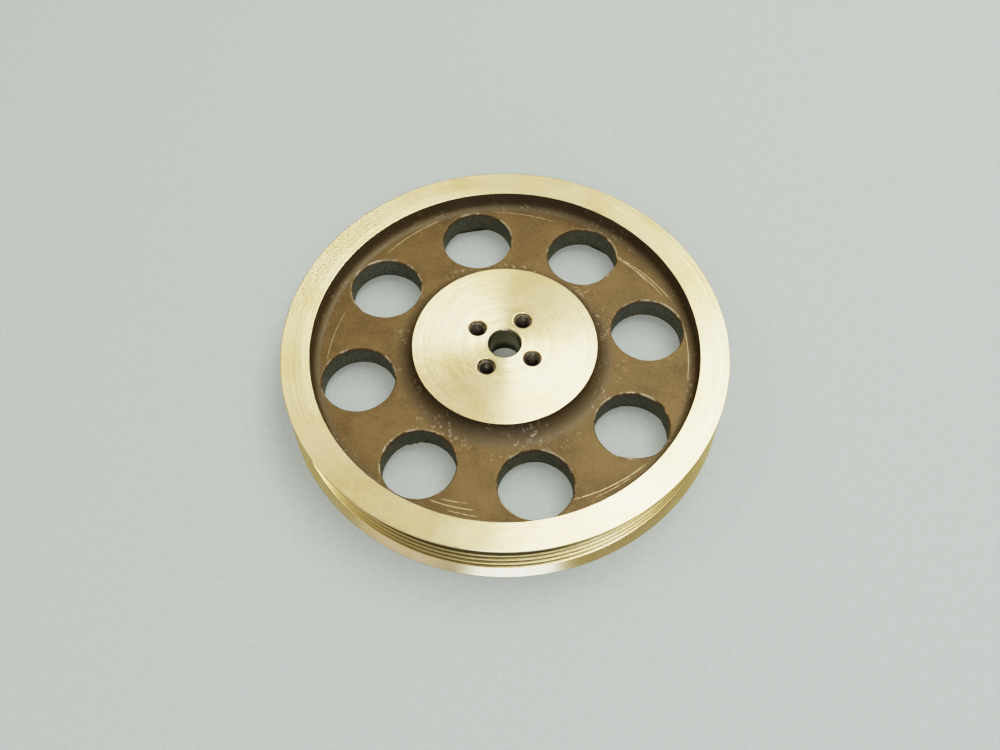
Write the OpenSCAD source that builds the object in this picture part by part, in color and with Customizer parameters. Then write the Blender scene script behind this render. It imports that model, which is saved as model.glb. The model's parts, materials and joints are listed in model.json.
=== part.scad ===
// V-ribbed drive pulley for a belt-driven supercharger.
// A one-piece bronze wheel: ribbed rim, pierced web and flat hub.
// Four steel thread inserts line the screw holes of the hub.
// Millimetres. The axis is Z, and z = 0 is the back face of the rim, on which the wheel lies.

/* [Rim] */
// Outside diameter over the two flanges
rim_d = 170.8; // [166:0.2:190]
// Width of the rim along the axis
rim_w = 23.5; // [22.5:0.1:28]
// Diameter of the inner edge of each rim face
face_d = 148.7; // [146:0.1:151]
// Fall of the dished walls inwards from the rim face to the fillet
wall_draft = 0.3; // [0:0.1:0.6]
// Radius of the fillet between the rim and the web
rim_fillet_r = 3; // [1:0.5:5]
// Bevel on the outer corners of the flanges
rim_bevel = 0.2; // [0.1:0.05:0.3]

/* [Belt track] */
// Number of belt grooves
groove_n = 5; // [3:1:5]
// Distance from one groove to the next
groove_pitch = 3.56; // [3.3:0.02:3.6]
// Angle between the two flanks of a groove
groove_angle = 40; // [36:1:44]
// Flat width left on the tip of a rib
rib_tip = 0.7; // [0.5:0.1:0.9]
// Radius at the bottom of a groove
groove_root_r = 0.4; // [0.2:0.1:0.5]
// Height of the flanges above the rib tips
flange_h = 2.25; // [1.5:0.05:3]
// Width of the flat outer edge of each flange
flange_land = 0.6; // [0.5:0.1:1.8]

/* [Web] */
// Depth of the web below the front face of the rim
web_drop = 7.7; // [7:0.1:9]
// Thickness of the web
web_t = 10.5; // [8:0.5:11]
// Number of lightening holes
window_n = 8; // [4:1:8]
// Diameter of each lightening hole
window_d = 28; // [20:0.5:28]
// Diameter of the circle that the lightening holes stand on
window_pcd = 114; // [112:0.5:114]

/* [Hub] */
// Diameter of the flat front face of the hub
hub_d = 70.8; // [60:0.2:71]
// Straight height of the hub's edge, above its fillet
hub_edge = 0.7; // [0.3:0.1:1.5]
// Thickness of the hub at the bore
hub_t = 12.8; // [11:0.1:14]
// Diameter of the locating recess in the back of the hub
register_d = 44; // [36:1:60]
// Diameter of the centre bore
bore_d = 12; // [8:0.1:14]
// Bevel at the mouths of the centre bore
bore_bevel = 0.5; // [0.2:0.1:1]
// Number of screw holes
screw_n = 4; // [3:1:6]
// Diameter of the circle that the screw holes stand on
screw_pcd = 25; // [24:0.5:40]
// Diameter of each screw hole in the wheel, outside its insert
screw_hole_d = 6.8; // [6:0.1:7]
// Bevel at the mouth of each screw hole
screw_bevel = 0.3; // [0.1:0.1:0.5]

/* [Thread inserts] */
// Bore of an insert, the core diameter of its thread
insert_bore_d = 5; // [4:0.1:5.2]
// Length of an insert
insert_l = 9; // [5:0.5:9.5]
// Depth of an insert below the front face of the hub
insert_sink = 0.8; // [0.4:0.1:1.5]

/* [Hidden] */
$fn = 96;
past = 1;
rim_r = rim_d / 2;
face_r = face_d / 2;
tip_r = rim_r - flange_h;
hub_r = hub_d / 2;
web_top = rim_w - web_drop;
web_bottom = web_top - web_t;
hub_back = rim_w - hub_t;
hub_fillet_r = web_drop - hub_edge;
wall_foot_r = face_r - wall_draft;
screw_first = 45;
mouth_half = (groove_pitch - rib_tip) / 2;
flank = groove_angle / 2;
root_depth = (mouth_half - groove_root_r * cos(flank)) / tan(flank) - groove_root_r * sin(flank);
shoulder_z = rim_w / 2 - (groove_n / 2) * groove_pitch + rib_tip / 2;

// Section of a quarter-round fillet, its square corner at the origin
module fillet_section(r) {
    difference() {
        square(r);
        translate([r, r]) circle(r);
    }
}

// Section of the rim without its grooves: two bevelled flanges and a plain track between them
module rim_section() {
    polygon([
        [face_r, 0],
        [rim_r - rim_bevel, 0],
        [rim_r, rim_bevel],
        [rim_r, flange_land],
        [tip_r, shoulder_z],
        [tip_r, rim_w - shoulder_z],
        [rim_r, rim_w - flange_land],
        [rim_r, rim_w - rim_bevel],
        [rim_r - rim_bevel, rim_w],
        [face_r, rim_w],
        [wall_foot_r, web_top],
        [wall_foot_r - rim_fillet_r, web_top],
        [wall_foot_r - rim_fillet_r, web_bottom],
        [wall_foot_r, web_bottom]
    ]);
    translate([wall_foot_r, web_top]) mirror([1, 0]) fillet_section(rim_fillet_r);
    translate([wall_foot_r, web_bottom]) mirror([1, 0]) mirror([0, 1]) fillet_section(rim_fillet_r);
}

// Section of one belt groove, its mouth on the X axis and its root towards the axis of the wheel
module groove_section() {
    root_half = groove_root_r * cos(flank);
    root_x = root_depth + groove_root_r * sin(flank);
    flare = past * tan(flank);
    polygon([
        [past, -mouth_half - flare],
        [past, mouth_half + flare],
        [-root_x, root_half],
        [-root_x, -root_half]
    ]);
    translate([-root_depth, 0]) circle(groove_root_r);
}

// Section of the web and of the hub, with the register at the back
module body_section() {
    translate([0, web_bottom]) square([wall_foot_r - rim_fillet_r, web_t]);
    translate([0, web_top]) square([hub_r, web_drop]);
    translate([hub_r, web_top]) fillet_section(hub_fillet_r);
}

// Section of the whole wheel, with its belt grooves and the register cut away
module wheel_section() {
    difference() {
        union() {
            rim_section();
            body_section();
        }
        for (i = [0 : groove_n - 1])
            translate([tip_r, rim_w / 2 + (i - (groove_n - 1) / 2) * groove_pitch])
                groove_section();
        translate([0, web_bottom - past]) square([register_d / 2, hub_back - web_bottom + past]);
    }
}

// A round hole from the register to the hub's front face, bevelled at its front mouth
module hub_hole(d, bevel) {
    translate([0, 0, hub_back - past]) cylinder(d = d, h = hub_t + 2 * past);
    translate([0, 0, rim_w - bevel]) cylinder(d1 = d, d2 = d + 2 * bevel + 2 * past, h = bevel + past);
}

// Puts its children at one of the screw holes
module at_screw(i) {
    rotate([0, 0, screw_first + i * 360 / screw_n])
        translate([screw_pcd / 2, 0, 0])
            children();
}

// The bronze casting: the turned section, its lightening holes and the holes of the hub
module pulley_wheel() {
    color("darkgoldenrod")
        difference() {
            rotate_extrude() wheel_section();
            for (i = [0 : window_n - 1])
                rotate([0, 0, i * 360 / window_n])
                    translate([window_pcd / 2, 0, web_bottom - past])
                        cylinder(d = window_d, h = web_t + 2 * past);
            hub_hole(bore_d, bore_bevel);
            for (i = [0 : screw_n - 1])
                at_screw(i) hub_hole(screw_hole_d, screw_bevel);
        }
}

// One steel thread insert, just below the hub's front face
module thread_insert(i) {
    color("slategray")
        at_screw(i)
            translate([0, 0, rim_w - insert_sink - insert_l])
                difference() {
                    cylinder(d = screw_hole_d, h = insert_l);
                    translate([0, 0, -past]) cylinder(d = insert_bore_d, h = insert_l + 2 * past);
                }
}

pulley_wheel();
thread_insert(0);  // thread_insert_1
thread_insert(1);  // thread_insert_2
thread_insert(2);  // thread_insert_3
thread_insert(3);  // thread_insert_4
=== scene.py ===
"""A ribbed-belt drive pulley for a supercharger: one turned bronze casting with four steel thread inserts."""

import json
import math

import bmesh
import bpy
import numpy as np
from bpy.props import FloatProperty, FloatVectorProperty, IntProperty, PointerProperty
from mathutils import Matrix, Vector, noise


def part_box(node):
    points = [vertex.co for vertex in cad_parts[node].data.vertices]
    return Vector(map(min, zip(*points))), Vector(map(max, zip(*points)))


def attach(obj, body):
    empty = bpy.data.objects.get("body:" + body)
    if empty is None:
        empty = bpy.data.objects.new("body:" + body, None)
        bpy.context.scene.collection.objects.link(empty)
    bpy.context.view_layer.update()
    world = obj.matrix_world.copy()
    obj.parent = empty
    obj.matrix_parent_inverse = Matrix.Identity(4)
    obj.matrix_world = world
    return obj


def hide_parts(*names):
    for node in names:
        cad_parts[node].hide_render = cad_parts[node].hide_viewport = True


bl_info = {
    "name": "Drive Pulley",
    "version": (1, 0, 0),
    "blender": (4, 5, 0),
    "location": "View3D > Sidebar > Pulley",
    "description": "Builds a cast and turned belt pulley, its thread inserts and a studio to show it in",
    "category": "Add Mesh",
}

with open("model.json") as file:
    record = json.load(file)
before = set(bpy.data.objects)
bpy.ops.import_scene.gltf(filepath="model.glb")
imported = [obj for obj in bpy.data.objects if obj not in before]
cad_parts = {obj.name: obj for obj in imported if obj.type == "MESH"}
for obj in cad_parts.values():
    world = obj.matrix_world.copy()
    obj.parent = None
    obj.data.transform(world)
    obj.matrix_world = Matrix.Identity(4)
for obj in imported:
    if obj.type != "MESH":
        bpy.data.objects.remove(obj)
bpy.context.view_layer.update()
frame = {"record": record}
MOUNTS = {mount["name"]: mount for mount in frame["record"]["mounts"]}
MM = 0.001
WHEEL_NODE = "pulley_wheel"
INSERT_NODES = [f"thread_insert_{i + 1}" for i in range(4)]


def mount_size(name, key):
    """A mount's size from the record, in metres."""
    return MOUNTS[name]["dims"][key] * MM


def length(name, description, default):
    """A length in metres that the sidebar shows."""
    return FloatProperty(name=name, description=description, default=default, unit="LENGTH", precision=5)


def colour(name, description, default):
    """A linear colour that the sidebar shows."""
    return FloatVectorProperty(name=name, description=description, default=default, size=3, subtype="COLOR")


# --- Sizes that a user would change ----------------------------------------------------------------

class PulleyRim(bpy.types.PropertyGroup):
    """The rim, its belt track and the walls of the dish inside it."""
    radius: length("Radius", "Outside radius over the flanges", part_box(WHEEL_NODE)[1].x)
    width: length("Width", "Width of the rim along the axis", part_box(WHEEL_NODE)[1].z)
    face_radius: length("Face radius", "Radius of the inner edge of each rim face", 74.35 * MM)
    draft: length("Draft", "Fall of the dish's wall from the face to the fillet", 0.3 * MM)
    fillet: length("Fillet", "Radius of the fillet between the rim and the web", 3.0 * MM)
    bevel: length("Bevel", "Broken outer corner of each flange", 0.2 * MM)
    flange: length("Flange height", "Height of the flanges above the rib tips", 2.25 * MM)
    land: length("Flange land", "Height of each flange's flat outer edge, with its bevel", 0.6 * MM)
    pitch: length("Groove pitch", "Distance from one belt groove to the next", 3.56 * MM)
    tip: length("Rib tip", "Flat width on the tip of a rib", 0.7 * MM)
    root: length("Groove root", "Radius at the bottom of a groove", 0.4 * MM)
    grooves: IntProperty(name="Grooves", description="Number of belt grooves", default=5, min=3, max=5)
    flank: FloatProperty(name="Flank", description="Angle between a groove's flank and its middle plane",
                         default=math.radians(20), subtype="ANGLE")


class PulleyWeb(bpy.types.PropertyGroup):
    """The web and its lightening holes."""
    drop: length("Drop", "Depth of the web below the rim's front face", 7.7 * MM)
    thickness: length("Thickness", "Thickness of the web", 10.5 * MM)
    window_radius: length("Window radius", "Radius of a lightening hole", 14.0 * MM)
    window_circle: length("Window circle", "Radius of the circle of the lightening holes", 57.0 * MM)
    lip: length("Lip", "Rounding of a lightening hole's cast edges", 0.7 * MM)
    ripple: length("Ripple", "How far the cast skin wanders from true", 0.09 * MM)
    windows: IntProperty(name="Windows", description="Number of lightening holes", default=8, min=4, max=8)


class PulleyHub(bpy.types.PropertyGroup):
    """The hub, its bore, its screw holes and their inserts."""
    radius: length("Radius", "Radius of the hub's front face", 35.4 * MM)
    edge: length("Edge", "Straight height of the hub's edge above its fillet", 0.7 * MM)
    bore: length("Bore", "Radius of the centre bore", mount_size("centre_bore", "r_mm"))
    bore_bevel: length("Bore bevel", "Bevel at the front mouth of the bore", 0.5 * MM)
    register: length("Register", "Radius of the recess in the back", mount_size("back_register", "r_mm"))
    back: length("Back", "Height of the hub's back face", MOUNTS["hub_back"]["pos_m"][2])
    screw_circle: length("Screw circle", "Radius of the screw holes' circle",
                         mount_size("screw_circle", "pcd_mm") / 2)
    screw_hole: length("Screw hole", "Radius of a screw hole outside its insert", 3.4 * MM)
    screw_bevel: length("Screw bevel", "Bevel at the mouth of a screw hole", 0.3 * MM)
    thread_core: length("Thread core", "Smallest radius inside an insert", mount_size("thread_1", "r_mm"))
    thread_pitch: length("Thread pitch", "Distance from one turn of the thread to the next", 1.0 * MM)
    thread_depth: length("Thread depth", "Depth of the thread", 0.52 * MM)


class PulleyFinish(bpy.types.PropertyGroup):
    """Colours and surface of the metals."""
    turned: colour("Turned bronze", "Bright bronze where the tool has cut", (0.83, 0.67, 0.37))
    tarnish: colour("Tarnish", "Deeper gold of the older cut faces", (0.75, 0.578, 0.275))
    skin: colour("Cast skin", "Brown skin of the casting", (0.152, 0.105, 0.045))
    skin_dark: colour("Dark skin", "Darker patches of the casting", (0.104, 0.071, 0.031))
    fleck: colour("Flecks", "Pale grains stuck in the casting", (0.48, 0.38, 0.28))
    # The cored walls' colour is their own dark sand-cast tone, mixed with painted shade and a painted
    # reflection of the grey-green floor
    core_wall: colour("Cored wall", "Grey-green walls of the cored holes", (0.135, 0.152, 0.130))
    steel: colour("Insert steel", "Dull steel of the thread inserts", (0.20, 0.19, 0.165))
    tool_slope: FloatProperty(name="Tool marks", description="Steepest slope of the tool marks on a cut face",
                              default=0.27, min=0, max=0.5)


class PulleyStudio(bpy.types.PropertyGroup):
    """The floor, its glow and the camera."""
    floor: colour("Floor", "Pale paper that the pulley lies on", (0.25, 0.28, 0.256))
    glow: colour("Floor glow", "Light that the floor gives off, which evens out its shading",
                 (0.158, 0.167, 0.157))
    camera_azimuth: FloatProperty(name="Camera azimuth", description="Turn of the camera round the axis",
                                  default=math.radians(-101.24), subtype="ANGLE")
    camera_out: length("Camera distance", "Distance of the camera from the axis", 237.9 * MM)
    camera_height: length("Camera height", "Height of the camera above the floor", 386.4 * MM)
    camera_pitch: FloatProperty(name="Camera pitch", description="How far the camera looks down",
                                default=math.radians(58.36), subtype="ANGLE")
    camera_yaw: FloatProperty(name="Camera yaw", description="How far the camera looks right of the axis",
                              default=math.radians(-0.46), subtype="ANGLE")
    camera_roll: FloatProperty(name="Camera roll", description="Turn of the camera about its line of sight",
                               default=math.radians(-0.56), subtype="ANGLE")
    camera_lens: FloatProperty(name="Lens", description="Focal length in millimetres", default=40.95)


# --- Outlines --------------------------------------------------------------------------------------

def round_corner(before, corner, after, radius, steps):
    """Points of the arc that rounds one corner of an outline."""
    a, b, c = (np.array(p, float) for p in (before, corner, after))
    u, v = (a - b) / np.linalg.norm(a - b), (c - b) / np.linalg.norm(c - b)
    half = math.acos(max(-1.0, min(1.0, float(u @ v)))) / 2
    reach = radius / math.tan(half)
    middle = (u + v) / np.linalg.norm(u + v)
    centre = b + middle * radius / math.sin(half)
    start, end = b + u * reach - centre, b + v * reach - centre
    turn = math.atan2(start[0] * end[1] - start[1] * end[0], float(start @ end))
    angles = np.linspace(0, turn, steps + 1)
    return [centre + np.array([start[0] * math.cos(t) - start[1] * math.sin(t),
                               start[0] * math.sin(t) + start[1] * math.cos(t)]) for t in angles]


def round_outline(corners):
    """An outline of (radius, height, rounding, steps) corners, with its corners rounded."""
    points = [np.array(corners[0][:2], float)]
    for before, corner, after in zip(corners, corners[1:], corners[2:]):
        r, z, rounding, steps = corner
        points += round_corner(before[:2], (r, z), after[:2], rounding, steps)
    return points + [np.array(corners[-1][:2], float)]


def brace_outline(points, margin=0.12 * MM, longest=2.5 * MM):
    """Adds a point close to each end of every long stretch, so that flat faces shade flat."""
    braced = [points[0]]
    for a, b in zip(points, points[1:]):
        span = float(np.linalg.norm(b - a))
        if span > 4 * margin:
            inner = max(1, math.ceil((span - 2 * margin) / longest))
            for t in np.linspace(margin / span, 1 - margin / span, inner + 1):
                braced.append(a + (b - a) * t)
        braced.append(b)
    return braced


# --- Meshes ----------------------------------------------------------------------------------------

class Surface:
    """Collects the patches of one closed mesh, each with a finish."""

    def __init__(self):
        self.points = []
        self.faces = []
        self.finishes = []
        self.count = 0

    def patch(self, rows, finish, closed=True, turned=False):
        """Joins rows of points, each an (n, 3) array, with quads."""
        rows = [np.asarray(row, float) for row in rows]
        n = len(rows[0])
        columns = n if closed else n - 1
        for i in range(len(rows) - 1):
            for j in range(columns):
                k = (j + 1) % n
                a, b = self.count + i * n + j, self.count + i * n + k
                quad = (a, b, b + n, a + n)
                self.faces.append(quad[::-1] if turned else quad)
                self.finishes.append(finish)
        self.points += rows
        self.count += n * len(rows)

    def mesh(self, name, weld=2e-6):
        """The welded mesh."""
        mesh = bpy.data.meshes.new(name)
        mesh.from_pydata(np.concatenate(self.points).tolist(), [], self.faces)
        mesh.polygons.foreach_set("material_index", self.finishes)
        work = bmesh.new()
        work.from_mesh(mesh)
        bmesh.ops.remove_doubles(work, verts=work.verts, dist=weld)
        bmesh.ops.recalc_face_normals(work, faces=work.faces)
        for face in work.faces:
            face.smooth = True
        work.to_mesh(mesh)
        work.free()
        mesh.update()
        return mesh


def ring(radius, height, angles):
    """A row of points at one radius and height round the axis."""
    return np.stack([radius * np.cos(angles), radius * np.sin(angles), np.full_like(angles, height)], -1)


def revolve(outline, angles):
    """Rows of points that turn an outline round the axis."""
    return [ring(r, z, angles) for r, z in outline]


def sector_border(inner, outer, half_angle, across, along):
    """Border of a sector about the X axis: outer arc, side, inner arc and side, as an (n, 2) array."""
    swing = np.linspace(-half_angle, half_angle, across + 1)
    reach = np.linspace(outer, inner, along + 1)
    arc_out = np.stack([outer * np.cos(swing), outer * np.sin(swing)], -1)
    side_a = np.stack([reach * math.cos(half_angle), reach * math.sin(half_angle)], -1)
    arc_in = np.stack([inner * np.cos(swing[::-1]), inner * np.sin(swing[::-1])], -1)
    side_b = np.stack([reach[::-1] * math.cos(half_angle), -reach[::-1] * math.sin(half_angle)], -1)
    return np.concatenate([arc_out[:-1], side_a[:-1], arc_in[:-1], side_b[:-1]])


def turn(points, angle):
    """Points turned about the axis."""
    c, s = math.cos(angle), math.sin(angle)
    x, y = points[..., 0].copy(), points[..., 1].copy()
    out = np.array(points, float)
    out[..., 0], out[..., 1] = x * c - y * s, x * s + y * c
    return out


def weld_object(name, mesh, finishes):
    """An object for a mesh, with its finishes in order."""
    obj = bpy.data.objects.new(name, mesh)
    bpy.context.scene.collection.objects.link(obj)
    for material in finishes:
        mesh.materials.append(material)
    return obj


# --- Shaders ---------------------------------------------------------------------------------------

class Value:
    """A socket of a shader, so that its sums and products are written as expressions."""

    def __init__(self, shader, socket):
        self.shader = shader
        self.socket = socket

    def __add__(self, other):
        return self.shader.math("ADD", self, other)

    __radd__ = __add__

    def __mul__(self, other):
        return self.shader.math("MULTIPLY", self, other)

    __rmul__ = __mul__

    def __sub__(self, other):
        return self.shader.math("SUBTRACT", self, other)

    def __rsub__(self, other):
        return self.shader.math("SUBTRACT", other, self)

    def __truediv__(self, other):
        return self.shader.math("DIVIDE", self, other)

    def __rtruediv__(self, other):
        return self.shader.math("DIVIDE", other, self)


class Shader:
    """One material and the nodes behind it."""

    def __init__(self, name):
        self.material = bpy.data.materials.new(name)
        self.material.use_nodes = True
        self.nodes = self.material.node_tree.nodes
        self.links = self.material.node_tree.links
        self.nodes.clear()

    def node(self, kind, settings=None, sockets=None, out=0):
        """A node: its settings first, then its sockets' values or links. Gives one output, or all of them."""
        made = self.nodes.new("ShaderNode" + kind)
        for key, value in (settings or {}).items():
            setattr(made, key, value)
        for key, value in (sockets or {}).items():
            if isinstance(value, Value):
                self.links.new(value.socket, made.inputs[key])
            else:
                made.inputs[key].default_value = value
        return made.outputs if out is None else Value(self, made.outputs[out])

    def math(self, operation, *values):
        return self.node("Math", {"operation": operation}, dict(enumerate(values)))

    def vector(self, operation, *values):
        return self.node("VectorMath", {"operation": operation}, dict(enumerate(values)))

    def scaled(self, vector, factor):
        return self.node("VectorMath", {"operation": "SCALE"}, {0: vector, "Scale": factor})

    def mix(self, factor, a, b):
        a, b = ((*c, 1) if isinstance(c, (tuple, list)) else c for c in (a, b))
        return self.node("Mix", {"data_type": "RGBA"}, {0: factor, 6: a, 7: b}, out=2)

    def range(self, value, low, high, to_low=0.0, to_high=1.0):
        """A value carried smoothly from one range to another."""
        return self.node("MapRange", {"interpolation_type": "SMOOTHSTEP"},
                         {0: value, 1: low, 2: high, 3: to_low, 4: to_high})

    def grain(self, vector, scale, detail=2.0, roughness=0.5):
        """Soft noise between 0 and 1, with its scale per millimetre."""
        return self.node("TexNoise", None, {"Vector": vector, "Scale": scale, "Detail": detail,
                                            "Roughness": roughness})

    def place(self):
        """Place on the piece in millimetres, its three parts, and its radius from the axis."""
        spot = self.scaled(self.node("TexCoord", out=3), 1 / MM)
        x, y, z = (Value(self, part) for part in self.node("SeparateXYZ", None, {0: spot}, out=None))
        return spot, x, y, z, self.math("SQRT", x * x + y * y)

    def bump(self, strength, distance, height):
        """A normal that follows a height."""
        return self.node("Bump", None, {"Strength": strength, "Distance": distance, "Height": height})

    def finish(self, base, roughness, metallic, **more):
        """Closes the material with its surface."""
        surface = self.node("BsdfPrincipled", None, {"Base Color": base, "Roughness": roughness,
                                                     "Metallic": metallic, **more})
        self.node("OutputMaterial", None, {"Surface": surface}, out=None)
        return self.material


# Linear colours that the finishes shade towards
# Painted shade: the bore's wall is painted dark grey in place of its shade and the grey floor it mirrors, and
# darker still towards its back
BORE_WALL_SHADE = (0.22, 0.225, 0.18)
BORE_DEPTH_SHADOW = (0.04, 0.04, 0.035)
# Painted shade in the belt grooves, and a painted warm reflection of light bouncing inside them
GROOVE_SHADE = (0.12, 0.112, 0.075)
GROOVE_REFLECTION = (0.36, 0.245, 0.095)
STAIN = (0.45, 0.36, 0.2)
WARM_SKIN = (0.205, 0.140, 0.059)
# Painted shade for the dish wall and the hub's fillet
DISH_WALL_SHADE = (0.112, 0.092, 0.056)
BARE_METAL = (0.50, 0.40, 0.24)
WORN_LIP = (0.48, 0.40, 0.27)
CORE_SAND = (0.20, 0.175, 0.115)
CORE_PIT = (0.035, 0.037, 0.032)
CORE_MOUTH = (0.15, 0.115, 0.060)
# Painted shadow along the back edge of each hole's wall
CORE_FOOT_SHADOW = (0.03, 0.03, 0.025)
STEEL_STAIN = (0.125, 0.105, 0.07)
PALE_FIBRE = (0.31, 0.345, 0.325)
FIBRE_GLOW = (0.20, 0.21, 0.198)

# Side of the rim, as a direction in X and Y, where the grooves' painted shade is darkest
PAINTED_SHADE_SIDE = (-0.19, -0.98)
MARKS_PER_MM = 160.0
# Pale scratches in the skin: from and to in degrees round the axis, radius at each end and half width in mm
SCRATCHES = [(-81, -53, 66.5, 70.4, 0.28), (-74, -60, 69.2, 70.2, 0.18), (-126, -110, 67.8, 67.1, 0.25),
             (-122, -113, 65.9, 64.9, 0.22), (-119, -109, 69.3, 69.4, 0.20), (8, 33, 71.2, 66.0, 0.20),
             (12, 38, 68.8, 64.5, 0.20), (18, 46, 66.8, 65.5, 0.18), (99, 124, 71.6, 68.6, 0.22),
             (60, 84, 68.5, 71.0, 0.18), (-22, 2, 70.6, 71.4, 0.18), (150, 172, 66.0, 68.8, 0.16)]


def tool_marks(shader, spot, radius, height, slope):
    """A normal that tilts from one tool mark to the next, across the marks and never along them."""
    face = shader.node("NewGeometry", out=1)
    around = shader.vector("NORMALIZE", shader.vector("CROSS_PRODUCT", (0, 0, 1), spot))
    across = shader.vector("CROSS_PRODUCT", face, around)
    mark = shader.math("FLOOR", (radius + height) * MARKS_PER_MM)
    level = shader.node("VectorMath", {"operation": "DOT_PRODUCT"}, {0: face, 1: (0, 0, 1)}, out=1)
    depth = shader.range(shader.math("ABSOLUTE", level), 0.97, 0.995, 0.25, 1.0)
    flank = shader.node("TexWhiteNoise", {"noise_dimensions": "1D"}, {"W": mark})
    tilt = (flank - 0.5) * depth * (2 * slope)
    return shader.vector("NORMALIZE", shader.vector("ADD", face, shader.scaled(across, tilt)))


def groove_shade_mask(shader, radius, z):
    """How strongly painted shade is laid on the belt grooves: all of each flank, and the tips of the front
    ribs, as painted shadow under the front flange.
    """
    rim = bpy.context.scene.pulley_rim
    tip = (rim.radius - rim.flange) / MM
    width = rim.width / MM
    middle = width / 2
    shoulder = middle - (rim.grooves * rim.pitch - rim.tip) / 2 / MM
    between = shader.range(z, width - 0.8, width - 1.2) * shader.range(z, shoulder - 0.2, shoulder + 0.2)
    track = between * shader.range(radius, tip - 6.15, tip - 4.65)
    flanks = shader.range(radius, tip - 0.13, tip - 0.30)
    # Painted shadow on the tips of the front ribs, under the front flange
    tips = shader.range(z, middle + 3.05, middle + 3.65, 0.25, 1.0)
    # Painted shade that grows stronger towards the front flange
    deeper = shader.range(z, middle - 3.75, middle + 4.25, 0.72, 0.88)
    return track * shader.math("MAXIMUM", flanks, tips) * deeper


def turned_bronze(look):
    """Bronze cut on the lathe, bright, with fine marks round the axis and faint tarnish. Its bore and belt
    grooves carry painted shade, and the grooves a painted warm reflection.
    """
    shader = Shader("turned_bronze")
    spot, x, y, z, radius = shader.place()
    hub = bpy.context.scene.pulley_hub
    bore, back = hub.bore / MM, hub.back / MM
    aged = shader.range(shader.grain(spot, 0.045, 4.0, 0.6), 0.34, 0.72)
    base = shader.mix(aged, tuple(look.turned), tuple(look.tarnish))
    # Painted shade: the bore's wall goes dark grey, and a painted shadow darkens it towards the back
    bored = shader.range(radius, bore + 1.0, bore + 0.3)
    base = shader.mix(bored * 0.85, base, BORE_WALL_SHADE)
    base = shader.mix(bored * shader.range(z, back + 5.8, back + 1.8) * 0.8, base, BORE_DEPTH_SHADOW)
    # Painted shade and reflection: the grooves are painted darkest on one side of the rim and a warm gold,
    # standing in for bounced light, on the other sides
    facing = (x * PAINTED_SHADE_SIDE[0] + y * PAINTED_SHADE_SIDE[1]) / radius
    groove = shader.mix(shader.range(facing, 0.92, 0.74), GROOVE_SHADE, GROOVE_REFLECTION)
    base = shader.mix(groove_shade_mask(shader, radius, z), base, groove)
    speck = shader.range(shader.grain(spot, 0.9, 3.0, 0.7), 0.66, 0.74)
    base = shader.mix(speck * 0.25, base, STAIN)
    rough = 0.17 + shader.grain(spot, 0.12, 4.0, 0.6) * 0.12
    return shader.finish(base, rough, 1.0, Normal=tool_marks(shader, spot, radius, z, look.tool_slope))


def scratch_line(shader, angle, radius, start, end, radius_start, radius_end, half_width):
    """One scratch, which drifts from one radius to another and fades out at its ends."""
    along = (angle - start) / (end - start)
    off = shader.math("ABSOLUTE", radius - radius_start - along * (radius_end - radius_start))
    fade = shader.range(shader.math("ABSOLUTE", along - 0.5), 0.5, 0.35)
    return shader.range(off, half_width, half_width * 0.3) * fade


def hole_distance(shader, x, y, radius):
    """Distance in millimetres from the axis of the nearest lightening hole."""
    web = bpy.context.scene.pulley_web
    step = 2 * math.pi / web.windows
    angle = shader.math("ARCTAN2", y, x)
    folded = shader.math("PINGPONG", angle + step * web.windows, step / 2)
    across = radius * shader.math("COSINE", folded) - web.window_circle / MM
    along = radius * shader.math("SINE", folded)
    return shader.math("SQRT", across * across + along * along)


def cast_skin(look):
    """Brown cast skin with mottling, stuck pale grains near the hub and a few turning scratches, with painted
    shade along the dish wall and the hub's fillet.
    """
    shader = Shader("cast_skin")
    spot, x, y, _, radius = shader.place()
    hub = bpy.context.scene.pulley_hub.radius / MM
    face = bpy.context.scene.pulley_rim.face_radius / MM
    window = bpy.context.scene.pulley_web.window_radius / MM
    blotch = shader.range(shader.grain(spot, 0.06, 6.0, 0.66), 0.34, 0.70)
    base = shader.mix(blotch, tuple(look.skin), tuple(look.skin_dark))
    warm = shader.range(shader.grain(spot, 0.9, 4.0, 0.65), 0.42, 0.70)
    base = shader.mix(warm * 0.35, base, WARM_SKIN)
    # Painted shade: the web darkens along the rim's dish wall and round the hub's fillet
    walls = shader.range(radius, face - 4.85, face - 1.85) + shader.range(radius, hub + 8.1, hub + 3.6)
    base = shader.mix(walls * 0.7, base, DISH_WALL_SHADE)
    near_hub = shader.range(radius, hub + 14.6, hub + 4.6) * 0.9
    near_walls = near_hub + shader.range(radius, face - 5.35, face - 2.35) * 0.5
    grains = shader.range(shader.grain(spot, 0.62, 4.0, 0.66), 0.555, 0.66)
    patches = shader.range(shader.grain(spot, 0.09, 2.0, 0.5), 0.42, 0.58)
    base = shader.mix(grains * near_walls * patches * 0.6, base, tuple(look.fleck))
    broken = shader.range(shader.grain(spot, 0.45, 4.0, 0.7), 0.30, 0.52)
    angle = shader.math("ARCTAN2", y, x) * (180 / math.pi)
    scratch = 0.0
    for mark in SCRATCHES:
        scratch = shader.math("MAXIMUM", scratch, scratch_line(shader, angle, radius, *mark))
    scratch = scratch * broken
    base = shader.mix(scratch * 0.8, base, BARE_METAL)
    lip = shader.range(hole_distance(shader, x, y, radius), window + 0.75, window + 0.2)
    worn = lip * shader.range(shader.grain(spot, 0.16, 4.0, 0.65), 0.46, 0.62)
    base = shader.mix(worn * 0.85, base, WORN_LIP)
    pits = shader.grain(spot, 1.1, 5.0, 0.7) * 0.7 + shader.grain(spot, 3.2, 3.0, 0.6) * 0.3
    rough = 0.50 + shader.grain(spot, 0.5, 3.0, 0.6) * 0.20 - scratch * 0.15
    return shader.finish(base, rough, 0.35, Normal=shader.bump(0.55, 0.00022, pits))


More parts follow.
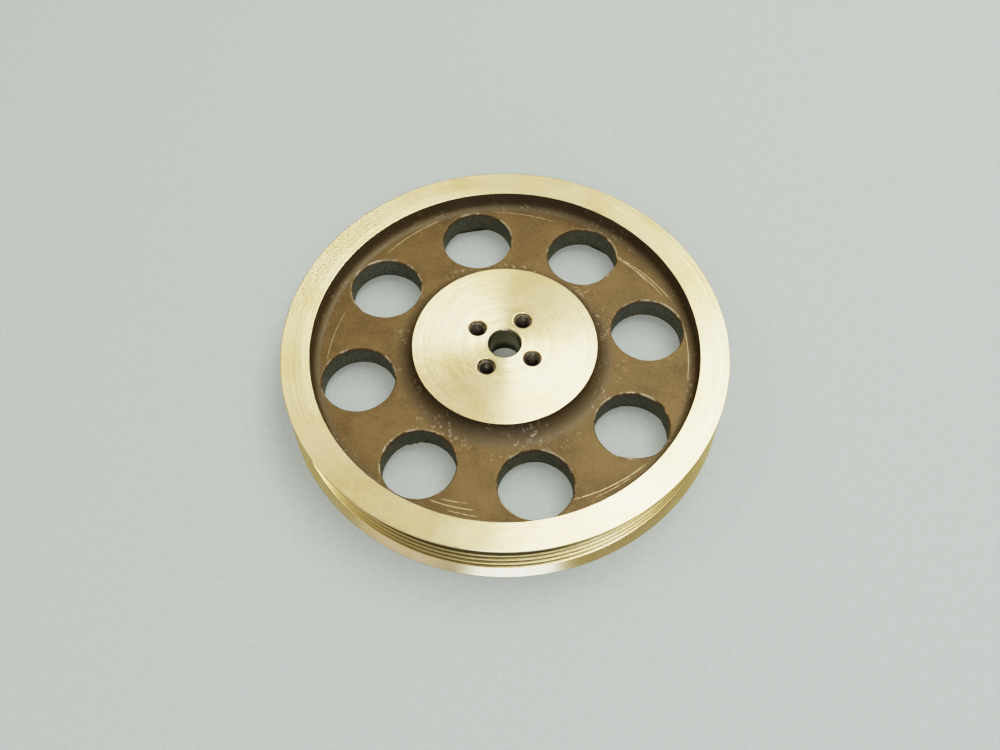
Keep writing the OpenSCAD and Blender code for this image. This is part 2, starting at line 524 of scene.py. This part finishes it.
def cored_wall(look):
    """Grey-green sand-cast walls of the lightening holes: their grey-green is partly painted shade and a
    painted reflection of the floor, with a painted shadow along the back edge.
    """
    shader = Shader("cored_wall")
    spot, _, _, z, _ = shader.place()
    web = bpy.context.scene.pulley_web
    front = (bpy.context.scene.pulley_rim.width - web.drop) / MM
    back = front - web.thickness / MM
    blotch = shader.range(shader.grain(spot, 0.45, 6.0, 0.75), 0.40, 0.60)
    # The walls' own dark sand-cast tone, with painted shade and a painted grey-green floor reflection in it
    base = shader.mix(blotch * 0.8, tuple(look.core_wall), CORE_SAND)
    hollow = shader.range(shader.grain(spot, 1.3, 4.0, 0.7), 0.50, 0.62)
    base = shader.mix(hollow * 0.65, base, CORE_PIT)
    base = shader.mix(shader.range(z, front - 4.0, front - 0.5) * 0.8, base, CORE_MOUTH)
    # Painted shadow: a dark band along the back edge of each hole's wall
    base = shader.mix(shader.range(z, back + 1.3, back + 0.5) * 0.8, base, CORE_FOOT_SHADOW)
    pits = shader.bump(0.7, 0.0003, shader.grain(spot, 1.6, 5.0, 0.7))
    return shader.finish(base, 0.62 + blotch * 0.1, 0.25, Normal=pits)


def insert_steel(look):
    """Dull dark steel of the thread inserts."""
    shader = Shader("insert_steel")
    spot = shader.place()[0]
    cloud = shader.range(shader.grain(spot, 1.2, 4.0, 0.6), 0.35, 0.65)
    base = shader.mix(cloud, tuple(look.steel), STEEL_STAIN)
    grit = shader.bump(0.25, 0.0001, shader.grain(spot, 4.0, 3.0))
    return shader.finish(base, 0.38 + cloud * 0.14, 0.9, Normal=grit)


def paper(look):
    """Pale grey-green paper."""
    shader = Shader("paper")
    spot = shader.place()[0]
    fibre = shader.range(shader.grain(spot, 0.42, 5.0, 0.72), 0.35, 0.65) * 0.30
    base = shader.mix(fibre, tuple(look.floor), PALE_FIBRE)
    glow = shader.mix(fibre, tuple(look.glow), FIBRE_GLOW)
    return shader.finish(base, 0.9, 0.0, **{"Emission Color": glow, "Emission Strength": 1.0})


# --- The wheel -------------------------------------------------------------------------------------

TURNED, CAST, CORED = 0, 1, 2
COLUMNS = 480
FAN_RINGS, WALL_STEPS, LIP_STEPS = 15, 12, 5
GROOVE_LIP = 0.14 * MM
# How the cast skin wanders: scale per millimetre and share of each layer of noise
RIPPLES = ((0.16, 0.6), (0.55, 0.3), (1.3, 0.18))
# Flaws of the cast holes: hole, angle in degrees, half width in degrees, outward reach in mm
OUTLINE_FLAWS = [(1, -52, 16, -0.55), (7, 24, 10, 0.45), (7, -106, 20, -0.60), (7, -68, 9, 0.40),
                 (5, 140, 20, -0.30), (0, 170, 14, 0.25), (3, 60, 18, -0.25)]
# Fins left at the back edge of a hole: hole, angle in degrees, half width in degrees, inward reach in mm
FINS = [(5, 95, 7, 1.2), (5, 85, 3, 1.0), (5, 71, 4, 0.9), (2, 150, 4, 0.3), (6, 60, 4, 0.3)]


def angle_gap(angles, target):
    """Gap between angles and a target, in degrees, from -180 to 180."""
    return (np.degrees(angles) - target + 180) % 360 - 180


def groove_outline(rim, centre):
    """Corners of one belt groove, from its lower edge to its upper edge."""
    mouth = (rim.pitch - rim.tip) / 2
    tip = rim.radius - rim.flange
    depth = mouth / math.tan(rim.flank)
    return [(tip, centre - mouth, GROOVE_LIP, 3), (tip - depth, centre, rim.root, 6),
            (tip, centre + mouth, GROOVE_LIP, 3)]


def track_outline(rim):
    """Corners of the rim's outside, from the back face's outer corner to the front face's."""
    tip = rim.radius - rim.flange
    middle = rim.width / 2
    shoulder = middle - rim.grooves / 2 * rim.pitch + rim.tip / 2
    low = [(rim.radius - rim.bevel, 0, 0.08 * MM, 2), (rim.radius, rim.bevel, 0.08 * MM, 2),
           (rim.radius, rim.land, 0.15 * MM, 3)]
    high = [(r, rim.width - z, rounding, steps) for r, z, rounding, steps in reversed(low)]
    grooves = []
    for i in range(rim.grooves):
        grooves += groove_outline(rim, middle + (i - (rim.grooves - 1) / 2) * rim.pitch)
    grooves[0] = (tip, shoulder, GROOVE_LIP, 3)
    grooves[-1] = (tip, rim.width - shoulder, GROOVE_LIP, 3)
    return low + grooves + high


def arc_height(radius, centre_r, centre_z, size, sign):
    """Height of a fillet's arc at a radius."""
    return centre_z - sign * np.sqrt(np.maximum(size ** 2 - (radius - centre_r) ** 2, 0))


class Wheel:
    """Works out the casting's surfaces from its sizes."""

    def __init__(self, scene):
        self.rim, self.web, self.hub = scene.pulley_rim, scene.pulley_web, scene.pulley_hub
        self.angles = np.arange(COLUMNS) * 2 * math.pi / COLUMNS
        self.web_front = self.rim.width - self.web.drop
        self.web_back = self.web_front - self.web.thickness
        self.hub_fillet = self.web.drop - self.hub.edge
        self.hub_foot = self.hub.radius + self.hub_fillet
        self.wall_foot = self.rim.face_radius - self.rim.draft
        self.rim_foot = self.wall_foot - self.rim.fillet
        self.web_inner = self.hub_foot - 1.9 * MM
        self.web_outer = self.rim_foot + 1.55 * MM
        self.screw_inner = self.hub.bore + 2.2 * MM
        self.screw_outer = self.hub.screw_circle + self.hub.screw_hole + 1.5 * MM

    def front_height(self, radius):
        """Height of the web's front, with the fillets at the hub and at the rim."""
        height = np.full_like(radius, self.web_front)
        near_hub, near_rim = radius < self.hub_foot, radius > self.rim_foot
        height[near_hub] = arc_height(radius[near_hub], self.hub_foot, self.web_front + self.hub_fillet,
                                      self.hub_fillet, 1)
        height[near_rim] = arc_height(radius[near_rim], self.rim_foot, self.web_front + self.rim.fillet,
                                      self.rim.fillet, 1)
        return height

    def back_height(self, radius):
        """Height of the web's back, with the fillet at the rim."""
        height = np.full_like(radius, self.web_back)
        near_rim = radius > self.rim_foot
        height[near_rim] = arc_height(radius[near_rim], self.rim_foot, self.web_back - self.rim.fillet,
                                      self.rim.fillet, -1)
        return height

    def rim_surface(self, surface):
        """The whole rim: front fillet, dish wall, both faces, the belt track and the fillet at the back."""
        rim = self.rim
        wall = 0.12 * MM
        reach = np.linspace(self.web_outer, self.wall_foot - 0.35 * MM, 6)
        front = [np.array([r, z]) for r, z in zip(reach, self.front_height(reach))]
        back = [np.array([r, z]) for r, z in zip(reach[::-1], self.back_height(reach[::-1]))]
        corners = [(*front[-1], 0, 0), (self.wall_foot, self.web_front + rim.fillet, 1.0 * MM, 5),
                   (rim.face_radius, rim.width, wall, 3)]
        corners += track_outline(rim)[::-1]
        corners += [(rim.face_radius, 0, wall, 3), (self.wall_foot, self.web_back - rim.fillet, 1.0 * MM, 5),
                    (*back[0], 0, 0)]
        outline = front[:-1] + brace_outline(round_outline(corners)) + back[1:]
        edge = rim.face_radius + 0.05 * MM
        self.by_finish(surface, outline, lambda r, z: CAST if r < edge else TURNED)

    def by_finish(self, surface, outline, pick):
        """Turns an outline round the axis, with the finish of each stretch picked by its middle."""
        rows = revolve(outline, self.angles)
        for i in range(len(outline) - 1):
            middle = (outline[i] + outline[i + 1]) / 2
            surface.patch(rows[i:i + 2], pick(*middle))

    def hub_front(self, surface):
        """The hub's front face, its edge and the fillet down to the web."""
        hub, top = self.hub, self.rim.width
        fillet = [(r, self.front_height(np.array([r]))[0])
                  for r in self.hub_foot - self.hub_fillet * np.cos(np.radians(np.linspace(6, 74, 16)))]
        fillet = [p for p in fillet if p[0] < self.web_inner]
        corners = [(self.screw_outer, top, 0, 0), (hub.radius, top, 0.16 * MM, 3),
                   (hub.radius, top - hub.edge - 0.1 * MM, 0.25 * MM, 2), (*fillet[0], 0, 0)]
        outline = brace_outline(round_outline(corners)) + [np.array(p) for p in fillet[1:]]
        outline.append(np.array([self.web_inner, self.front_height(np.array([self.web_inner]))[0]]))
        cut = hub.radius - 0.02 * MM
        self.by_finish(surface, outline, lambda r, z: TURNED if r < cut else CAST)

    def hub_back(self, surface):
        """The hub's back face and the recess in the back round it."""
        hub = self.hub
        corners = [(self.screw_outer, hub.back, 0, 0), (hub.register, hub.back, 0.2 * MM, 3),
                   (hub.register, self.web_back, 0.3 * MM, 3), (self.web_inner, self.web_back, 0, 0)]
        outline = brace_outline(round_outline(corners))
        cut = hub.register + 0.1 * MM
        self.by_finish(surface, outline, lambda r, z: TURNED if r < cut else CAST)

    def bore(self, surface):
        """The centre bore, with its bevel and the faces just round it."""
        hub, top = self.hub, self.rim.width
        corners = [(self.screw_inner, top, 0, 0), (hub.bore + hub.bore_bevel, top, 0.06 * MM, 2),
                   (hub.bore, top - hub.bore_bevel, 0.08 * MM, 2), (hub.bore, hub.back, 0.15 * MM, 3),
                   (self.screw_inner, hub.back, 0, 0)]
        self.by_finish(surface, brace_outline(round_outline(corners)), lambda r, z: TURNED)

    def window_radius(self, index, directions):
        """Radius of a lightening hole's cast outline, which is never quite round."""
        radius = np.full_like(directions, self.web.window_radius)
        for i, d in enumerate(directions):
            place = Vector((math.cos(d) * 1.3, math.sin(d) * 1.3, index * 7.3))
            radius[i] += 0.16 * MM * noise.noise(place) + 0.07 * MM * noise.noise(place * 4.1)
        for hole, angle, width, reach in OUTLINE_FLAWS:
            if hole == index:
                radius += reach * MM * np.exp(-(angle_gap(directions, angle) / width) ** 2)
        return radius

    def windows(self, surface):
        """The pierced web: for each hole a fan of rings on both faces, and the cored wall between them."""
        count = self.web.windows
        border = sector_border(self.web_inner, self.web_outer, math.pi / count, COLUMNS // count, 36)
        spoke = border - (self.web.window_circle, 0.0)
        far = np.linalg.norm(spoke, axis=1)
        unit = spoke / far[:, None]
        local = np.arctan2(unit[:, 1], unit[:, 0])
        for index in range(count):
            heading = index * 2 * math.pi / count
            directions = local + heading
            hole = self.window_radius(index, directions)
            front = self.window_face(surface, heading, unit, far, hole, 1)
            back = self.window_face(surface, heading, unit, far, hole, -1)
            self.window_wall(surface, index, heading, directions, front, back)

    def window_face(self, surface, heading, unit, far, hole, side):
        """One face of the web round a hole, from the hole's rounded lip outwards. Gives its innermost row."""
        lip = self.web.lip
        height = self.front_height if side > 0 else self.back_height
        steps = []
        for t in np.linspace(0, math.pi / 2, LIP_STEPS + 1):
            steps.append((hole + lip * (1 - math.cos(t)), side * lip * (1 - math.sin(t))))
        for t in np.linspace(0, 1, FAN_RINGS + 1)[1:]:
            steps.append(((hole + lip) * (1 - t ** 1.25) + far * t ** 1.25, 0.0))
        rows = []
        for out, sunk in steps:
            xy = np.array([self.web.window_circle, 0.0]) + unit * out[:, None]
            rows.append(turn(np.column_stack([xy, height(np.linalg.norm(xy, axis=1)) - sunk]), heading))
        surface.patch(rows, CAST)
        return rows[0]

    def window_wall(self, surface, index, heading, directions, front, back):
        """The cored wall of a hole between its two lips, with the fins left at its back edge."""
        axis = turn(np.array([[self.web.window_circle, 0.0, 0.0]]), heading)[0]
        wall = []
        for t in np.linspace(0, 1, WALL_STEPS + 1):
            row = front * (1 - t) + back * t
            near_back = math.exp(-((1 - t) / 0.16) ** 2) * min(1.0, (1 - t) * WALL_STEPS)
            for hole, angle, width, reach in FINS:
                if hole == index:
                    shape = np.exp(-(angle_gap(directions, angle) / width) ** 2) * near_back
                    toward = axis[:2] - row[:, :2]
                    toward /= np.linalg.norm(toward, axis=1)[:, None]
                    row[:, :2] += toward * (reach * MM * shape)[:, None]
            wall.append(row)
        surface.patch(wall, CORED)

    def screw_holes(self, surface):
        """The plain holes that take the inserts, each with a fan of rings on both faces."""
        hub = self.hub
        sectors = 4
        border = sector_border(self.screw_inner, self.screw_outer, math.pi / sectors, COLUMNS // sectors, 12)
        centre = np.array([hub.screw_circle, 0.0])
        spoke = border - centre
        far = np.linalg.norm(spoke, axis=1)
        unit = spoke / far[:, None]
        top = self.rim.width
        corners = [(hub.screw_hole + hub.screw_bevel + 0.4 * MM, top, 0, 0),
                   (hub.screw_hole + hub.screw_bevel, top, 0.05 * MM, 2),
                   (hub.screw_hole, top - hub.screw_bevel, 0.05 * MM, 2),
                   (hub.screw_hole, hub.back, 0.1 * MM, 2),
                   (hub.screw_hole + hub.screw_bevel + 0.4 * MM, hub.back, 0, 0)]
        outline = brace_outline(round_outline(corners), longest=1.5 * MM)
        for index in range(sectors):
            heading = (index + 0.5) * 2 * math.pi / sectors
            rows = []
            for t in np.linspace(1, 0, 6)[:-1]:
                out = outline[0][0] * (1 - t) + far * t
                rows.append(np.column_stack([centre + unit * out[:, None], np.full(len(far), top)]))
            for r, z in outline:
                rows.append(np.column_stack([centre + unit * r, np.full(len(far), z)]))
            for t in np.linspace(0, 1, 6)[1:]:
                out = outline[0][0] * (1 - t) + far * t
                rows.append(np.column_stack([centre + unit * out[:, None], np.full(len(far), hub.back)]))
            surface.patch([turn(row, heading) for row in rows], TURNED)

    def roughen(self, mesh):
        """Lets the cast skin wander from true, and leaves what the tool has cut alone."""
        count = len(mesh.vertices)
        cast, turned = np.zeros(count, bool), np.zeros(count, bool)
        for face in mesh.polygons:
            mark = turned if face.material_index == TURNED else cast
            mark[list(face.vertices)] = True
        places, normals = np.zeros(count * 3), np.zeros(count * 3)
        mesh.vertices.foreach_get("co", places)
        mesh.vertices.foreach_get("normal", normals)
        places, normals = places.reshape(-1, 3), normals.reshape(-1, 3)
        reach = self.web.ripple * 1.4
        for i in np.flatnonzero(cast & ~turned):
            spot = Vector(places[i] / MM)
            wander = sum(noise.noise(spot * scale) * share for scale, share in RIPPLES)
            places[i] += normals[i] * wander * reach
        mesh.vertices.foreach_set("co", places.ravel())
        mesh.update()


class PULLEY_OT_wheel(bpy.types.Operator):
    """Build the cast and turned wheel"""
    bl_idname = "pulley.wheel"
    bl_label = "Wheel"

    def execute(self, context):
        wheel = Wheel(context.scene)
        surface = Surface()
        wheel.rim_surface(surface)
        wheel.hub_front(surface)
        wheel.hub_back(surface)
        wheel.bore(surface)
        wheel.windows(surface)
        wheel.screw_holes(surface)
        mesh = surface.mesh("wheel_casting")
        wheel.roughen(mesh)
        look = context.scene.pulley_finish
        obj = weld_object("wheel_casting", mesh, [turned_bronze(look), cast_skin(look), cored_wall(look)])
        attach(obj, "root")
        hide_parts(WHEEL_NODE)
        return {"FINISHED"}


# --- The thread inserts ----------------------------------------------------------------------------

def insert_mesh(name, hub, low, high):
    """One insert with a true helical thread inside, standing on its own axis."""
    surface = Surface()
    around, rows_per_turn = 96, 12
    angles = np.arange(around) * 2 * math.pi / around
    outer = hub.screw_hole - 0.01 * MM
    bevel = 0.12 * MM
    mouth = hub.thread_core + hub.thread_depth
    outline = [(mouth, high), (outer - bevel, high), (outer, high - bevel), (outer, low + bevel),
               (outer - bevel, low), (mouth, low)]
    surface.patch(revolve(outline, angles), 0)
    inside = []
    count = round((high - low) / hub.thread_pitch * rows_per_turn)
    for i in range(count + 1):
        z = low + (high - low) * i / count
        wave = np.abs(((z / hub.thread_pitch - angles / (2 * math.pi)) % 1.0) * 2 - 1)
        crest = np.clip((wave - 0.14) / 0.76, 0, 1)
        fade = min(1.0, i / 5, (count - i) / 5)
        radius = mouth - hub.thread_depth * (1 - crest) * fade
        inside.append(ring(radius, z, angles))
    surface.patch(inside, 0)
    return surface.mesh(name)


class PULLEY_OT_inserts(bpy.types.Operator):
    """Build the four steel thread inserts"""
    bl_idname = "pulley.inserts"
    bl_label = "Thread inserts"

    def execute(self, context):
        steel = insert_steel(context.scene.pulley_finish)
        for node in INSERT_NODES:
            low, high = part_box(node)
            mesh = insert_mesh(node + "_helix", context.scene.pulley_hub, low.z, high.z)
            middle = (low + high) / 2
            heading = math.atan2(middle.y, middle.x)
            mesh.transform(Matrix.Translation((middle.x, middle.y, 0)) @ Matrix.Rotation(heading, 4, "Z"))
            obj = weld_object(node + "_helix", mesh, [steel])
            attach(obj, "root")
            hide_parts(node)
        return {"FINISHED"}


# --- The stage -------------------------------------------------------------------------------------

WHITE = (1.0, 1.0, 1.0)
# Soft boxes that hang level: name, two corners right and away of the axis as the camera sees it, height in
# metres, radiance, tint and swing in degrees
OVERHEAD = [("bright_ceiling", (0.03, -0.40), (0.60, 0.76), 1.0, 5.1, WHITE, 6),
            ("soft_ceiling", (-1.0, -0.50), (1.0, 1.70), 1.1, 0.20, (1.0, 0.97, 0.89), 0),
            ("near_ceiling", (-0.30, -1.25), (0.30, -0.72), 1.0, 3.0, WHITE, 0)]
# Soft boxes that face the wheel: name, azimuth and elevation in degrees, distance and size in metres,
# radiance and tint
STANDING = [("left_key", 170, 43, 3.0, (0.9, 0.7), 5.0, (1.0, 0.915, 0.73)),
            ("front_window", -87, 15, 1.5, (0.85, 0.45), 2.8, (0.76, 0.92, 1.45)),
            ("side_window", -133, 14, 1.5, (0.9, 0.40), 0.5, (0.90, 0.92, 1.4))]
SKY_TINT, SKY_STRENGTH = (1.0, 0.98, 0.92, 1), 0.30


def soft_box(name, place, ahead, up, size, radiance, tint):
    """A rectangular light of a given brightness, which shines ahead."""
    light = bpy.data.lights.new(name, "AREA")
    light.shape = "RECTANGLE"
    light.size, light.size_y = size
    light.energy = radiance * math.pi * size[0] * size[1]
    light.color = tint
    up = (up - ahead * up.dot(ahead) / ahead.dot(ahead)).normalized()
    ahead = ahead.normalized()
    obj = bpy.data.objects.new(name, light)
    obj.matrix_world = Matrix.Translation(place) @ Matrix((ahead.cross(up), up, -ahead)).transposed().to_4x4()
    bpy.context.scene.collection.objects.link(obj)


class PULLEY_OT_stage(bpy.types.Operator):
    """Set out the floor, the lights and the camera"""
    bl_idname = "pulley.stage"
    bl_label = "Stage"

    def execute(self, context):
        look = context.scene.pulley_studio
        self.lay_floor(look)
        self.set_lights(look)
        self.set_camera(context, look)
        return {"FINISHED"}

    def lay_floor(self, look):
        """The paper that the pulley lies on, a hair below its back."""
        mesh = bpy.data.meshes.new("floor")
        reach, level = 3.0, -0.05 * MM
        mesh.from_pydata([(-reach, -reach, level), (reach, -reach, level), (reach, reach, level),
                          (-reach, reach, level)], [], [(0, 1, 2, 3)])
        floor = weld_object("floor", mesh, [paper(look)])

    def set_lights(self, look):
        """The soft boxes, the sky and the tone of the view."""
        turn_back = Matrix.Rotation(look.camera_azimuth + math.pi / 2, 3, "Z")

        def seen(x, y, z):
            """A place or direction as the camera sees it: x to the right, y away, z up, in metres."""
            return turn_back @ Vector((x, y, z))

        for name, low, high, height, radiance, tint, swing in OVERHEAD:
            place = seen((low[0] + high[0]) / 2, (low[1] + high[1]) / 2, height)
            away = seen(math.sin(math.radians(swing)), math.cos(math.radians(swing)), 0)
            size = (high[0] - low[0], high[1] - low[1])
            soft_box(name, place, seen(0, 0, -1), away, size, radiance, tint)
        for name, azimuth, elevation, distance, size, radiance, tint in STANDING:
            a, e = math.radians(azimuth), math.radians(elevation)
            back = seen(math.cos(a) * math.cos(e), math.sin(a) * math.cos(e), math.sin(e))
            soft_box(name, back * distance, -back, seen(0, 0, 1), size, radiance, tint)
        world = bpy.data.worlds.new("studio")
        world.use_nodes = True
        sky = world.node_tree.nodes["Background"]
        sky.inputs["Color"].default_value = SKY_TINT
        sky.inputs["Strength"].default_value = SKY_STRENGTH
        bpy.context.scene.world = world
        bpy.context.scene.view_settings.view_transform = "Filmic"
        bpy.context.scene.view_settings.look = "Very High Contrast"

    def set_camera(self, context, look):
        """The camera, placed round the pulley's axis."""
        camera = bpy.data.cameras.new("camera")
        camera.lens, camera.sensor_width = look.camera_lens, 36.0
        camera.clip_start, camera.clip_end = 0.01, 20.0
        obj = bpy.data.objects.new("camera", camera)
        context.scene.collection.objects.link(obj)
        azimuth, pitch, yaw = look.camera_azimuth, look.camera_pitch, look.camera_yaw
        out = look.camera_out
        obj.location = (out * math.cos(azimuth), out * math.sin(azimuth), look.camera_height)
        heading = azimuth + math.pi - yaw
        ahead = Vector((math.cos(heading) * math.cos(pitch), math.sin(heading) * math.cos(pitch),
                        -math.sin(pitch)))
        level = Vector((math.sin(heading), -math.cos(heading), 0))
        up = level.cross(ahead)
        right = level * math.cos(look.camera_roll) + up * math.sin(look.camera_roll)
        up = right.cross(ahead)
        obj.rotation_euler = Matrix((right, up, -ahead)).transposed().to_euler()
        context.scene.camera = obj


class PULLEY_PT_panel(bpy.types.Panel):
    """Lists the pulley's pieces and its stage"""
    bl_idname = "PULLEY_PT_panel"
    bl_label = "Pulley"
    bl_space_type = "VIEW_3D"
    bl_region_type = "UI"
    bl_category = "Pulley"

    def draw(self, context):
        for piece in PIECES:
            self.layout.operator(piece.bl_idname)


PIECES = (PULLEY_OT_wheel, PULLEY_OT_inserts, PULLEY_OT_stage)
GROUPS = {"pulley_rim": PulleyRim, "pulley_web": PulleyWeb, "pulley_hub": PulleyHub,
          "pulley_finish": PulleyFinish, "pulley_studio": PulleyStudio}


def register():
    for group in GROUPS.values():
        bpy.utils.register_class(group)
    for name, group in GROUPS.items():
        setattr(bpy.types.Scene, name, PointerProperty(type=group))
    for piece in (*PIECES, PULLEY_PT_panel):
        bpy.utils.register_class(piece)


def unregister():
    for piece in (PULLEY_PT_panel, *reversed(PIECES)):
        bpy.utils.unregister_class(piece)
    for name in reversed(GROUPS):
        delattr(bpy.types.Scene, name)
    for group in reversed(GROUPS.values()):
        bpy.utils.unregister_class(group)


def main():
    """Builds every piece and the stage."""
    register()
    bpy.ops.pulley.wheel()
    bpy.ops.pulley.inserts()
    bpy.ops.pulley.stage()


if __name__ == "__main__":
    main()
